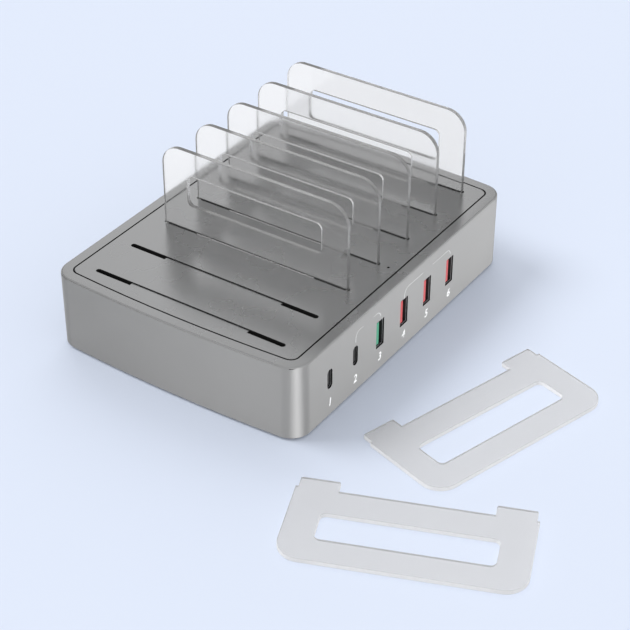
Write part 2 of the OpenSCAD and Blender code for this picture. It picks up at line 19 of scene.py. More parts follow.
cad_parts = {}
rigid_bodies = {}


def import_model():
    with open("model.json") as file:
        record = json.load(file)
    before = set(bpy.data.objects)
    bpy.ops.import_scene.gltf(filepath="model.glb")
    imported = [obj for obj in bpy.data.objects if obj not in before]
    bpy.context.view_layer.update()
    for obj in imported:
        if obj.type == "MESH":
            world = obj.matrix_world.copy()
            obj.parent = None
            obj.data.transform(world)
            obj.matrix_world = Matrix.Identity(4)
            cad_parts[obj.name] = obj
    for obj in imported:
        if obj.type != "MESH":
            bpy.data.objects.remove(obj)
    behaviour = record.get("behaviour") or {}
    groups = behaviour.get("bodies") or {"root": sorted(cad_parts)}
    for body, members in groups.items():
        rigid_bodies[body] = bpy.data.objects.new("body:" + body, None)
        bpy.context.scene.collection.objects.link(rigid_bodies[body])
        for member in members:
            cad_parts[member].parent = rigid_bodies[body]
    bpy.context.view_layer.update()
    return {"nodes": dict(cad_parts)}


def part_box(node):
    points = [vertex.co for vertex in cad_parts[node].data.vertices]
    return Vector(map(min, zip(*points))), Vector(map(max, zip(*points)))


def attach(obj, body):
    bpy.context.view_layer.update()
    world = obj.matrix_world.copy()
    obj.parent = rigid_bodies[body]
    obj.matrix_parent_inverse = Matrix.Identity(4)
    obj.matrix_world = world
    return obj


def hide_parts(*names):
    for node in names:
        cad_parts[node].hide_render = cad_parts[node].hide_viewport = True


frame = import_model()

LOG = logging.getLogger("station")
MM = 0.001
STATION = "station"
FLOAT, COLOR, VECTOR = "NodeSocketFloat", "NodeSocketColor", "NodeSocketVector"
X, Y, Z = range(3)

COAT_ROUGHNESS = 0.15
FLOOR_ROUGHNESS = 0.9
QUARTER_TURN = 0.25
EDGE_SEGMENTS = 2
EDGE_ANGLE = 32.0
SHADING_WEIGHT = 60
MERGED_WITHIN = 0.004
THINNEST_FACE = 0.002
JOINED_WITHIN = 0.001
SUN_DISTANCE = 1000.0

Color = tuple[float, float, float]
Tint = tuple[float, float, float, float]
Point = tuple[float, float, float]
Range = tuple[float, float]
Face = bpy.types.MeshPolygon
Material = bpy.types.Material
Node = bpy.types.Node
Piece = bpy.types.Object
Socket = bpy.types.NodeSocket
Sockets = bpy.types.NodeOutputs
Tree = bpy.types.NodeTree
Value = float | Socket


def add_node(tree: Tree, kind: str, inputs: dict | None = None, **settings: object) -> Node:
    """Add one node to a shader or geometry tree.

    Args:
        tree: the tree that gets the node.
        kind: the node's type name.
        inputs: a value, a socket or a list of sockets for each input, by name or number.
        settings: plain attributes of the node.

    Returns:
        The new node.
    """
    made = tree.nodes.new(kind)
    for name, value in settings.items():
        setattr(made, name, value)
    for name, value in (inputs or {}).items():
        for part in value if isinstance(value, list) else [value]:
            if isinstance(part, Socket):
                tree.links.new(part, made.inputs[name])
            else:
                made.inputs[name].default_value = part
    return made


def math_node(tree: Tree, operation: str, *values: Value) -> Socket:
    """Add a Math node for some numbers or sockets and return its output."""
    return add_node(tree, "ShaderNodeMath", dict(enumerate(values)), operation=operation).outputs[0]


def rgba(color: Color) -> Tint:
    """Return a colour with its alpha."""
    return (*color, 1.0)


def mixed_color(tree: Tree, share: Value, first: Tint | Socket, second: Tint | Socket) -> Socket:
    """Mix two colours by a share and return the result's socket."""
    return add_node(tree, "ShaderNodeMix", {0: share, 6: first, 7: second}, data_type="RGBA").outputs[2]


def mixed_value(tree: Tree, first: Value, second: Value, share: float) -> Socket:
    """Add a share of one value to the rest of another and return the result's socket."""
    return math_node(tree, "MULTIPLY_ADD", first, share, math_node(tree, "MULTIPLY", second, 1.0 - share))


def spread(
    tree: Tree, value: Value, low: float, high: float, to_low: Value = 0.0, to_high: Value = 1.0,
) -> Socket:
    """Map a value from one range to another, clamped, and return the result's socket."""
    inputs = {0: value, 1: low, 2: high, 3: to_low, 4: to_high}
    return add_node(tree, "ShaderNodeMapRange", inputs, clamp=True).outputs[0]


def noise(
    tree: Tree, vector: Socket, scale: Value, detail: float,
    roughness: float = 0.5, distortion: float = 0.0,
) -> Socket:
    """Add a Noise Texture to a tree.

    Args:
        tree: the tree that gets it.
        vector: the place that it reads.
        scale: its scale, in features per metre.
        detail: how many finer layers it has.
        roughness: how strong those layers are.
        distortion: how much it is curled.

    Returns:
        The socket of its value, from 0 to 1.
    """
    return add_node(tree, "ShaderNodeTexNoise", {
        "Vector": vector, "Scale": scale, "Detail": detail, "Roughness": roughness,
        "Distortion": distortion,
    }).outputs[0]


def toward(azimuth: float, elevation: float) -> Vector:
    """Return the direction to a place round the object, from angles in degrees."""
    turn, rise = math.radians(azimuth), math.radians(elevation)
    return Vector((math.sin(turn) * math.cos(rise), -math.cos(turn) * math.cos(rise), math.sin(rise)))


class ShaderGroup:
    """Base of the shader groups that several finishes share, each built once."""

    name: str = ""
    inputs: dict[str, str] = {}
    outputs: dict[str, str] = {}

    def tree(self) -> Tree:
        """Return the group's node tree, building it on first use.

        Returns:
            The shader node tree.
        """
        tree = bpy.data.node_groups.get(self.name)
        if tree is None:
            tree = bpy.data.node_groups.new(self.name, "ShaderNodeTree")
            for in_out, sockets in (("INPUT", self.inputs), ("OUTPUT", self.outputs)):
                for name, kind in sockets.items():
                    tree.interface.new_socket(name, in_out=in_out, socket_type=kind)
            source = tree.nodes.new("NodeGroupInput").outputs
            target = tree.nodes.new("NodeGroupOutput").inputs
            for name, socket in self.fill(tree, source).items():
                tree.links.new(socket, target[name])
        return tree

    def fill(self, tree: Tree, source: Sockets) -> dict[str, Socket]:
        """Add the group's nodes and return the socket for each of its outputs, by name."""
        raise NotImplementedError

    def use(self, tree: Tree, inputs: dict) -> Sockets:
        """Place the group in a material, with its inputs by name, and return its outputs."""
        return add_node(tree, "ShaderNodeGroup", inputs, node_tree=self.tree()).outputs


class SurfacePattern(ShaderGroup):
    """Base of the surface patterns of solid finishes, which share their inputs and outputs."""

    inputs = {
        "Vector": VECTOR, "Scale": FLOAT, "Light": COLOR, "Dark": COLOR, "Smooth": FLOAT, "Rough": FLOAT,
    }
    outputs = {"Color": COLOR, "Roughness": FLOAT, "Height": FLOAT}

    def result(
        self, tree: Tree, source: Sockets, share: Socket, gloss: Socket, ends: Range, height: Socket,
    ) -> dict[str, Socket]:
        """Turn a pattern's values into its outputs.

        Args:
            tree: the group's tree.
            source: the sockets of its Group Input node, by name.
            share: how light the colour is, from 0 to 1.
            gloss: the value that the roughness follows.
            ends: that value where the surface is smoothest and where it is roughest.
            height: the relief, from 0 to 1.

        Returns:
            The socket for each output, by name.
        """
        return {
            "Color": mixed_color(tree, share, source["Dark"], source["Light"]),
            "Roughness": spread(tree, gloss, *ends, source["Smooth"], source["Rough"]),
            "Height": height,
        }


class Grain(SurfacePattern):
    """Fine grain over slow clouds: blasted metal and moulded plastic."""

    name = "fine_grain"
    fine_share = 0.35
    cloud_scale = 0.012
    cloud_range = (0.34, 0.66)

    def fill(self, tree: Tree, source: Sockets) -> dict[str, Socket]:
        """Add a fine noise for the relief and a slow one for colour and gloss.

        Args:
            tree: the group's tree.
            source: the sockets of its Group Input node, by name.

        Returns:
            The socket for each output, by name.
        """
        fine = noise(tree, source["Vector"], source["Scale"], detail=2.0, roughness=0.6)
        slow_scale = math_node(tree, "MULTIPLY", source["Scale"], self.cloud_scale)
        slow = noise(tree, source["Vector"], slow_scale, detail=3.0, roughness=0.55)
        cloud = spread(tree, slow, *self.cloud_range)
        share = mixed_value(tree, fine, cloud, self.fine_share)
        return self.result(tree, source, share, cloud, (0.0, 1.0), fine)


class Brushed(SurfacePattern):
    """Fine lines along Z, as on drawn or rolled metal."""

    name = "drawn_lines"
    squeeze = (1.0, 1.0, 0.03)
    line_range = (0.3, 0.7)

    def fill(self, tree: Tree, source: Sockets) -> dict[str, Socket]:
        """Add a noise that is squeezed along one direction.

        Args:
            tree: the group's tree.
            source: the sockets of its Group Input node, by name.

        Returns:
            The socket for each output, by name.
        """
        squeezed = add_node(tree, "ShaderNodeMapping", {"Vector": source["Vector"], "Scale": self.squeeze})
        lines = noise(tree, squeezed.outputs[0], source["Scale"], detail=3.0, roughness=0.6)
        share = spread(tree, lines, *self.line_range)
        return self.result(tree, source, share, lines, self.line_range[::-1], lines)


class Tracks(SurfacePattern):
    """Copper tracks under the lacquer of a circuit board."""

    name = "board_tracks"
    border = (0.3, 0.34)
    weave_share = 0.25
    weave_scale = 9.0
    weave_range = (0.3, 0.7)

    def fill(self, tree: Tree, source: Sockets) -> dict[str, Socket]:
        """Add straight-edged cells whose borders read as tracks, over a fine weave.

        Args:
            tree: the group's tree.
            source: the sockets of its Group Input node, by name.

        Returns:
            The socket for each output, by name.
        """
        cells = add_node(tree, "ShaderNodeTexVoronoi", {
            "Vector": source["Vector"], "Scale": source["Scale"],
        }, distance="CHEBYCHEV", feature="F1").outputs["Distance"]
        tracks = spread(tree, cells, *self.border)
        weave_scale = math_node(tree, "MULTIPLY", source["Scale"], self.weave_scale)
        weave = noise(tree, source["Vector"], weave_scale, detail=2.0)
        share = mixed_value(tree, weave, tracks, self.weave_share)
        return self.result(tree, source, share, weave, self.weave_range, tracks)


class Turns(SurfacePattern):
    """Bands across Z, as on wound wire and on wrapped tape."""

    name = "wound_turns"

    def fill(self, tree: Tree, source: Sockets) -> dict[str, Socket]:
        """Add waves along Z with a little noise between the turns.

        Args:
            tree: the group's tree.
            source: the sockets of its Group Input node, by name.

        Returns:
            The socket for each output, by name.
        """
        wave = add_node(tree, "ShaderNodeTexWave", {
            "Vector": source["Vector"], "Scale": source["Scale"], "Distortion": 0.4, "Detail": 1.0,
        }, bands_direction="Z").outputs["Fac"]
        return self.result(tree, source, wave, wave, (1.0, 0.0), wave)


class Dust(ShaderGroup):
    """Faint smears of dust and wiping, as a mask."""

    name = "dust_marks"
    inputs = {"Vector": VECTOR, "Amount": FLOAT}
    outputs = {"Mask": FLOAT}
    scale = 28.0
    smear_range = (0.45, 0.75)

    def fill(self, tree: Tree, source: Sockets) -> dict[str, Socket]:
        """Add slow, curled smears.

        Args:
            tree: the group's tree.
            source: the sockets of its Group Input node, by name.

        Returns:
            The socket for each output, by name.
        """
        smear = noise(tree, source["Vector"], self.scale, detail=5.0, roughness=0.65, distortion=1.2)
        mask = spread(tree, smear, *self.smear_range)
        return {"Mask": math_node(tree, "MULTIPLY", mask, source["Amount"])}


class Texture(Enum):
    """The surface patterns that a solid finish can have."""

    GRAIN = Grain()
    BRUSHED = Brushed()
    TRACKS = Tracks()
    TURNS = Turns()


DUST = Dust()


@dataclass(frozen=True)
class Finish:
    """Base of the finishes, each of which makes one material.

    Attributes:
        name: the material's name.
        slot: the record's material slot that it stands for; not used.
        main: its main colour, linear.
        other: the colour that it varies towards, linear.
    """

    name: str
    slot: str
    main: Color
    other: Color

    def material(self) -> Material:
        """Return the finish's material, building it on first use.

        Returns:
            The Blender material.
        """
        made = bpy.data.materials.get(self.name)
        if made is None:
            made = bpy.data.materials.new(self.name)
            made.use_nodes = True
            made.diffuse_color = rgba(self.main)
            made.node_tree.nodes.clear()
            shader = self.shader(made.node_tree)
            add_node(made.node_tree, "ShaderNodeOutputMaterial", {"Surface": shader.outputs[0]})
        return made

    def shader(self, tree: Tree) -> Node:
        """Add the finish's own nodes to a tree and return the one that ends them."""
        raise NotImplementedError


@dataclass(frozen=True)
class SolidFinish(Finish):
    """A solid finish, with a surface pattern between its lighter and its darker colour.

    Attributes:
        gloss: the smoothest and the roughest roughness.
        metallic: 1 for metal, 0 for anything else.
        texture: the surface pattern.
        scale: the pattern's scale, in features per metre.
        relief: the depth of the pattern in millimetres.
        coat: the weight of a clear lacquer.
        shine: the specular level.
        dust: how much the dust marks dull the surface.
        stretch: how much the surface spreads light up and down rather than sideways.
    """

    gloss: Range = (0.35, 0.45)
    metallic: float = 0.0
    texture: Texture = Texture.GRAIN
    scale: float = 2500.0
    relief: float = 0.01
    coat: float = 0.0
    shine: float = 0.5
    dust: float = 0.06
    stretch: float = 0.0

    def shader(self, tree: Tree) -> Node:
        """Add the pattern, the dust and the relief under one Principled BSDF.

        Args:
            tree: the material's tree.

        Returns:
            The Principled BSDF.
        """
        place = add_node(tree, "ShaderNodeTexCoord").outputs["Object"]
        pattern = self.texture.value.use(tree, {
            "Vector": place, "Scale": self.scale, "Light": rgba(self.main), "Dark": rgba(self.other),
            "Smooth": self.gloss[0], "Rough": self.gloss[1],
        })
        dust = DUST.use(tree, {"Vector": place, "Amount": self.dust})["Mask"]
        bump = add_node(tree, "ShaderNodeBump", {
            "Strength": 1.0, "Distance": self.relief * MM, "Height": pattern["Height"],
        })
        inputs = {
            "Base Color": pattern["Color"], "Roughness": math_node(tree, "ADD", pattern["Roughness"], dust),
            "Metallic": self.metallic, "Normal": bump.outputs[0], "Coat Weight": self.coat,
            "Coat Roughness": COAT_ROUGHNESS, "Specular IOR Level": self.shine,
        }
        if self.stretch:
            along = add_node(tree, "ShaderNodeTangent", direction_type="RADIAL", axis="Z").outputs[0]
            inputs |= {"Tangent": along, "Anisotropic": self.stretch, "Anisotropic Rotation": QUARTER_TURN}
        return add_node(tree, "ShaderNodeBsdfPrincipled", inputs)


@dataclass(frozen=True)
class ClearFinish(Finish):
    """A clear sheet or light guide: polished, faintly milky, with light wiping marks.

    Attributes:
        clear: the share of light that passes rather than scatters.
        gloss: the smoothest and the roughest roughness.
        bending: the index of refraction.
        lets_lamps: the share of lamp light that passes straight through to what is behind.
    """

    clear: float = 0.98
    gloss: Range = (0.08, 0.105)
    bending: float = 1.6
    lets_lamps: float = 0.97

    def shader(self, tree: Tree) -> Node:
        """Add the wiping marks and a clear Principled BSDF that lets lamp light through.

        Args:
            tree: the material's tree.

        Returns:
            The Principled BSDF.
        """
        place = add_node(tree, "ShaderNodeTexCoord").outputs["Object"]
        mask = DUST.use(tree, {"Vector": place, "Amount": 1.0})["Mask"]
        inputs = {
            "Base Color": mixed_color(tree, mask, rgba(self.main), rgba(self.other)),
            "Roughness": spread(tree, mask, 0.0, 1.0, *self.gloss),
            "IOR": self.bending, "Transmission Weight": self.clear,
        }
        if self.lets_lamps:
            lamp = add_node(tree, "ShaderNodeLightPath").outputs["Is Shadow Ray"]
            inputs["Alpha"] = math_node(tree, "MULTIPLY_ADD", lamp, -self.lets_lamps, 1.0)
        return add_node(tree, "ShaderNodeBsdfPrincipled", inputs)


@dataclass(frozen=True)
class FloorFinish(Finish):
    """The studio floor: its main colour to the eye, and the other one in metal and behind glass."""

    def shader(self, tree: Tree) -> Node:
        """Add a dull Principled BSDF whose colour depends on what sees it.

        Args:
            tree: the material's tree.

        Returns:
            The Principled BSDF.
        """
        direct = add_node(tree, "ShaderNodeLightPath").outputs["Is Camera Ray"]
        return add_node(tree, "ShaderNodeBsdfPrincipled", {
            "Base Color": mixed_color(tree, direct, rgba(self.other), rgba(self.main)),
            "Roughness": FLOOR_ROUGHNESS, "Specular IOR Level": 0.0,
        })


class Finishes(Enum):
    """Every finish of the station."""

    SATIN = SolidFinish(
        "satin_metal_top", "satin_metal", (0.419, 0.422, 0.427), (0.411, 0.414, 0.419), (0.26, 0.28), 1.0,
        scale=3200.0, relief=0.001, dust=0.004,
    )
    # The sides share the top's metal. Their lighter colour is painted light, and their rougher, vertically
    # stretched gloss is their own brushing.
    SATIN_SIDE = SolidFinish(
        "satin_metal_side", "satin_metal", (0.472, 0.472, 0.47), (0.452, 0.452, 0.45), (0.50, 0.54), 1.0,
        scale=3200.0, relief=0.003, dust=0.02, stretch=0.9,
    )
    # Near-black metal for the walls of the recess, the ports' openings and the plate's slots and grooves:
    # painted shade on walls that are satin metal.
    CUT_EDGE = SolidFinish(
        "dark_cut_edge", "satin_metal", (0.02, 0.02, 0.02), (0.012, 0.012, 0.012), (0.45, 0.55),
        scale=3200.0, shine=0.2,
    )
    BLACK = SolidFinish(
        "black_moulding", "black_plastic", (0.020, 0.020, 0.021), (0.011, 0.011, 0.012), (0.45, 0.6),
        scale=2600.0, relief=0.02,
    )
    RUBBER = SolidFinish(
        "black_rubber_foot", "black_rubber", (0.028, 0.028, 0.029), (0.016, 0.016, 0.017), (0.75, 0.9),
        scale=1800.0, relief=0.05, shine=0.3,
    )
    SHEET = ClearFinish("clear_divider_sheet", "clear_sheet", (0.965, 0.965, 0.965), (0.95, 0.95, 0.95))
    SHEET_EDGE = ClearFinish(
        "polished_divider_edge", "clear_sheet", (0.90, 0.90, 0.90), (0.86, 0.86, 0.86), 0.84, (0.22, 0.28),
    )
    LYING_SHEET = ClearFinish(
        "clear_lying_sheet", "clear_sheet", (0.992, 0.994, 1.0), (0.985, 0.987, 0.995), bending=1.5,
    )
    # The lying sheets' cut edges are frosted like any cut edge, and are made far whiter than the standing
    # sheets' edges as a painted highlight.
    LYING_EDGE = ClearFinish(
        "bright_divider_edge", "clear_sheet", (0.98, 0.985, 1.0), (0.97, 0.975, 0.99), 0.2, (0.22, 0.28),
    )
    GUIDE = ClearFinish(
        "clear_light_guide", "clear_sheet", (0.22, 0.23, 0.24), (0.2, 0.21, 0.22), gloss=(0.1, 0.2),
        bending=1.49, lets_lamps=0.0,
    )
    STEEL = SolidFinish(
        "plated_steel", "steel", (0.56, 0.56, 0.57), (0.48, 0.48, 0.49), (0.22, 0.32), 1.0,
        Texture.BRUSHED, 2600.0, 0.003,
    )
    WHITE = SolidFinish(
        "white_moulding", "white_plastic", (0.80, 0.81, 0.82), (0.74, 0.75, 0.76), (0.3, 0.4),
    )
    BOARD = SolidFinish(
        "circuit_board_lacquer", "circuit_board", (0.045, 0.22, 0.085), (0.02, 0.11, 0.045), (0.3, 0.42),
        texture=Texture.TRACKS, scale=240.0, relief=0.03, coat=0.3,
    )
    GOLD = SolidFinish(
        "gold_plating", "gold_contacts", (0.83, 0.60, 0.27), (0.76, 0.53, 0.22), (0.2, 0.3), 1.0,
        Texture.BRUSHED, 3000.0, 0.003,
    )
    RED = SolidFinish(
        "red_tongue", "red_plastic", (0.52, 0.014, 0.022), (0.44, 0.011, 0.017), (0.34, 0.42),
        scale=3000.0, relief=0.006,
    )
    GREEN = SolidFinish(
        "green_tongue", "green_plastic", (0.008, 0.30, 0.165), (0.007, 0.25, 0.135), (0.34, 0.42),
        scale=3000.0, relief=0.006,
    )
    FERRITE = SolidFinish(
        "dark_ferrite_core", "dark_ferrite", (0.060, 0.060, 0.064), (0.034, 0.034, 0.037), (0.5, 0.68),
        scale=1600.0, relief=0.05,
    )
    TAPE = SolidFinish(
        "yellow_tape_wrap", "yellow_tape", (0.78, 0.56, 0.05), (0.62, 0.42, 0.03), (0.25, 0.4),
        texture=Texture.TURNS, scale=180.0, relief=0.03, coat=0.2,
    )
    WIRE = SolidFinish(
        "copper_enamelled_wire", "copper_wire", (0.75, 0.33, 0.14), (0.45, 0.17, 0.07), (0.2, 0.35), 1.0,
        scale=1500.0, coat=0.5,
    )
    SINK = SolidFinish(
        "plain_aluminium_sink", "plain_aluminium", (0.66, 0.67, 0.68), (0.56, 0.57, 0.58), (0.32, 0.45), 1.0,
        Texture.BRUSHED, 1400.0,
    )
    INK = SolidFinish(
        "white_print", "white_plastic", (0.86, 0.87, 0.88), (0.80, 0.81, 0.82), (0.45, 0.55),
        scale=4000.0, relief=0.002, dust=0.0,
    )
    FLOOR = FloorFinish("pale_blue_floor", "", (0.68, 0.74, 0.865), (0.83, 0.845, 0.88))


def shown(data: bpy.types.ID, name: str) -> Piece:
    """Link a mesh, curve, lamp or camera into the scene as an object at the origin.

    Args:
        data: the mesh, curve, lamp or camera.
        name: the object's name.

    Returns:
        The new object.
    """
    made = bpy.data.objects.new(name, data)
    bpy.context.scene.collection.objects.link(made)
    return made


def meshed(shape: bmesh.types.BMesh, name: str) -> Piece:
    """Turn a shape into an object at the origin.

    Args:
        shape: the shape, which is freed afterwards.
        name: the name of the object and of its mesh.

    Returns:
        The new object.
    """
    mesh = bpy.data.meshes.new(name)
    shape.to_mesh(mesh)
    shape.free()
    return shown(mesh, name)


def baked(obj: Piece, name: str) -> Piece:
    """Turn an object and its modifiers into a new object with one plain mesh.

    Args:
        obj: the object, which is removed afterwards.
        name: the new object's name.

    Returns:
        The new object, at the origin and unturned.
    """
    graph = bpy.context.evaluated_depsgraph_get()
    graph.update()
    mesh = bpy.data.meshes.new_from_object(obj.evaluated_get(graph), depsgraph=graph)
    bpy.data.objects.remove(obj)
    mesh.name = name
    return shown(mesh, name)


def polished(obj: Piece, name: str, width: float) -> Piece:
    """Round an object's sharp edges and even out its shading.

    Args:
        obj: the object, which is replaced.
        name: the finished object's name.
        width: how far the rounding reaches from each edge, in millimetres.

    Returns:
        The finished object.
    """
    for face in obj.data.polygons:
        face.use_smooth = True
    if width:
        bevel = obj.modifiers.new("edges", "BEVEL")
        bevel.width = width * MM
        bevel.segments = EDGE_SEGMENTS
        bevel.limit_method = "ANGLE"
        bevel.angle_limit = math.radians(EDGE_ANGLE)
        bevel.use_clamp_overlap = True
        bevel.miter_outer = "MITER_ARC"
    even = obj.modifiers.new("even_shading", "WEIGHTED_NORMAL")
    even.weight = SHADING_WEIGHT
    even.keep_sharp = True
    return baked(obj, name)


def merged_copy(node: str, name: str) -> Piece:
    """Copy a CAD node's loose triangles into one joined, clean mesh.

    Args:
        node: the CAD node.
        name: the copy's name.

    Returns:
        The copy, linked into the scene.
    """
    mesh = frame["nodes"][node].data.copy()
    mesh.name = name
    shape = bmesh.new()
    shape.from_mesh(mesh)
    bmesh.ops.remove_doubles(shape, verts=shape.verts, dist=MERGED_WITHIN * MM)
    bmesh.ops.dissolve_degenerate(shape, edges=shape.edges, dist=THINNEST_FACE * MM)
    shape.to_mesh(mesh)
    shape.free()
    for layer in list(mesh.attributes):
        if layer.name == "custom_normal":
            mesh.attributes.remove(layer)
    return shown(mesh, name)


def dressed(obj: Piece, finish: Finishes, body: str, *nodes: str) -> Piece:
    """Give a piece its finish and its place in the frame.

    Args:
        obj: the piece.
        finish: its finish.
        body: the CAD body that it rides on.
        nodes: the CAD nodes that it replaces.

    Returns:
        The piece.
    """
    obj.data.materials.clear()
    obj.data.materials.append(finish.value.material())
    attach(obj, body)
    if nodes:
        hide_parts(*nodes)
    LOG.info("%s: %d faces, %s", obj.name, len(obj.data.polygons), finish.value.name)
    return obj


def refined(node: str, name: str, width: float, finish: Finishes) -> Piece:
    """Put a polished and dressed copy of one of the station's CAD nodes in the node's place."""
    return dressed(polished(merged_copy(node, name), name, width), finish, STATION, node)


def is_across(face: Face, axis: int, lean: float = 0.5) -> bool:
    """Tell whether a face's normal points across an axis, give or take a lean."""
    return abs(face.normal[axis]) < lean


def second_finish(obj: Piece, finish: Finishes, where: Callable[[Face], bool]) -> None:
    """Give some of a piece's faces another finish.

    Args:
        obj: the piece.
        finish: the other finish.
        where: tells whether a face gets it.
    """
    obj.data.materials.append(finish.value.material())
    index = len(obj.data.materials) - 1
    for face in obj.data.polygons:
        if where(face):
            face.material_index = index


class Pattern:
    """A Geometry Nodes tree with named inputs, whose result is a plain mesh."""

    def __init__(self, name: str) -> None:
        """Start an empty tree.

        Args:
            name: the tree's name.
        """
        self.name = name
        self.tree = bpy.data.node_groups.new(name, "GeometryNodeTree")
        self.tree.interface.new_socket("Geometry", in_out="OUTPUT", socket_type="NodeSocketGeometry")
        self.source = self.tree.nodes.new("NodeGroupInput")
        self.target = self.tree.nodes.new("NodeGroupOutput")
        self.sockets: dict[str, str] = {}

    def inputs(self, *names: str, kind: str = FLOAT) -> list[Socket]:
        """Add named inputs.

        Args:
            names: the inputs' names.
            kind: their socket type.

        Returns:
            The inputs' sockets inside the tree.
        """
        for name in names:
            item = self.tree.interface.new_socket(name, in_out="INPUT", socket_type=kind)
            self.sockets[name] = item.identifier
        return [self.source.outputs[name] for name in names]

    def add(self, kind: str, inputs: dict | None = None, **settings: object) -> Socket:
        """Add a geometry node and return its first output."""
        return add_node(self.tree, "GeometryNode" + kind, inputs, **settings).outputs[0]

    def calc(self, operation: str, *values: Value) -> Socket:
        """Add a Math node and return its output."""
        return math_node(self.tree, operation, *values)

    def vector(self, x: Value = 0.0, y: Value = 0.0, z: Value = 0.0) -> Socket:
        """Add a Combine XYZ node and return its output."""
        return add_node(self.tree, "ShaderNodeCombineXYZ", {0: x, 1: y, 2: z}).outputs[0]

    def merged(self, geometry: Socket) -> Socket:
        """Join the points of a geometry that lie on each other, and return its socket."""
        return self.add("MergeByDistance", {"Geometry": geometry, "Distance": JOINED_WITHIN * MM})

    def moved(self, geometry: Socket, x: Value = 0.0, y: Value = 0.0, z: Value = 0.0) -> Socket:
        """Move a geometry and return its socket."""
        return self.add("Transform", {"Geometry": geometry, "Translation": self.vector(x, y, z)})

    def slab(self, curve: Socket, height: Socket) -> Socket:
        """Fill a flat closed curve and give it a height along Z.

        Args:
            curve: the closed curve in the XY plane.
            height: the slab's height.

        Returns:
            The closed solid's socket.
        """
        face = self.merged(self.add("FillCurve", {"Curve": curve}, mode="NGONS"))
        raised = self.add("ExtrudeMesh", {
            "Mesh": face, "Offset": self.vector(z=1.0), "Offset Scale": height, "Individual": False,
        })
        return self.merged(self.add("JoinGeometry", {0: [raised, self.add("FlipFaces", {"Mesh": face})]}))

    def rounded(self, width: Socket, height: Socket, radius: Socket, count: int) -> Socket:
        """Draw a rectangle round the origin with a count of points in each round corner."""
        box = self.add("CurvePrimitiveQuadrilateral", {"Width": width, "Height": height})
        return self.add("FilletCurve", {"Curve": box, "Radius": radius, "Count": count}, mode="POLY")

    def close(self, geometry: Socket) -> None:
        """End the tree with Realize Instances and Set Material.

        Args:
            geometry: the finished geometry's socket.
        """
        material, = self.inputs("Material", kind="NodeSocketMaterial")
        real = self.add("RealizeInstances", {"Geometry": geometry})
        final = self.add("SetMaterial", {"Geometry": real, "Material": material})
        self.tree.links.new(final, self.target.inputs[0])

    def build(self, name: str, finish: Finishes, sizes: dict[str, float]) -> Piece:
        """Run the tree once and keep its result as a plain mesh.

        Args:
            name: the new object's name.
            finish: the finish for the tree's Material input.
            sizes: the tree's other inputs in millimetres, by name.

        Returns:
            The new object.
        """
        carrier = shown(bpy.data.meshes.new(name + "_carrier"), name + "_carrier")
        modifier = carrier.modifiers.new(self.name, "NODES")
        modifier.node_group = self.tree
        modifier[self.sockets["Material"]] = finish.value.material()
        for key, size in sizes.items():
            modifier[self.sockets[key]] = size * MM
        return baked(carrier, name)


@dataclass
class Shell:
    """The metal housing, its inlaid plate, the slot tray, the base cover and the rubber ring.

    Attributes:
        edge: the rounding of the housing's edges.
        plate_edge: the rounding of the plate's edges.
        ring_edge: the rounding of the rubber ring's edges.
        half_length: the housing's reach along X.
        half_width: its reach along Y.
        wall: the thickness of the wall that the ports open through.
        rim: the width of the rim round the plate.
        recess_floor: the height of the floor that the plate lies on.
        port_low: a height below every port.
        port_high: a height above every port.
        port_reach: how far along X there are ports.
        side_lean: how far a face of the housing may lean and still count as one of its sides.
    """

    edge: float = 0.18
    plate_edge: float = 0.05
    ring_edge: float = 0.35
    half_length: float = 84.0
    half_width: float = 62.0
    wall: float = 2.2
    rim: float = 3.0
    recess_floor: float = 33.0
    port_low: float = 8.0
    port_high: float = 30.0
    port_reach: float = 72.0
    side_lean: float = 0.7

    def in_recess(self, face: Face) -> bool:
        """Tell whether a face of the housing is a wall of the recess that the plate lies in.

        Args:
            face: the face.

        Returns:
            True for such a wall.
        """
        inset_x = (self.half_length - self.rim) * MM - abs(face.center.x)
        inset_y = (self.half_width - self.rim) * MM - abs(face.center.y)
        return min(inset_x, inset_y) > 0 and face.center.z > self.recess_floor * MM and is_across(face, Z)

    def in_port(self, face: Face) -> bool:
        """Tell whether a face of the housing is a wall of a port's opening.

        Args:
            face: the face.

        Returns:
            True for such a wall.
        """
        depth = face.center.y + self.half_width * MM
        level = self.port_low * MM < face.center.z < self.port_high * MM
        beside = abs(face.center.x) < self.port_reach * MM
        return level and beside and self.edge * MM < depth < self.wall * MM and is_across(face, Y)

    def build(self) -> None:
        """Build and dress the shell's pieces."""
        shell = refined("housing", "shell", self.edge, Finishes.SATIN)
        # The sides get the lighter copy of the metal, which is painted light.
        second_finish(shell, Finishes.SATIN_SIDE, lambda face: is_across(face, Z, self.side_lean))
        # The recess walls and the walls of the ports' openings are painted near-black as painted shade.
        second_finish(shell, Finishes.CUT_EDGE, lambda face: self.in_recess(face) or self.in_port(face))
        plate = refined("top_plate", "inlaid_plate", self.plate_edge, Finishes.SATIN)
        # The plate's walls across Z, round its edge, its slots and its grooves, are painted near-black as
        # painted shade.
        second_finish(plate, Finishes.CUT_EDGE, lambda face: is_across(face, Z))
        # The tray is black moulding, and its black also stands for the painted shade seen in the gap round
        # the plate.
        refined("slot_tray", "pocket_tray", 0.0, Finishes.BLACK)
        refined("base_cover", "bottom_cover", 0.0, Finishes.BLACK)
        refined("base_ring", "rubber_ring", self.ring_edge, Finishes.RUBBER)


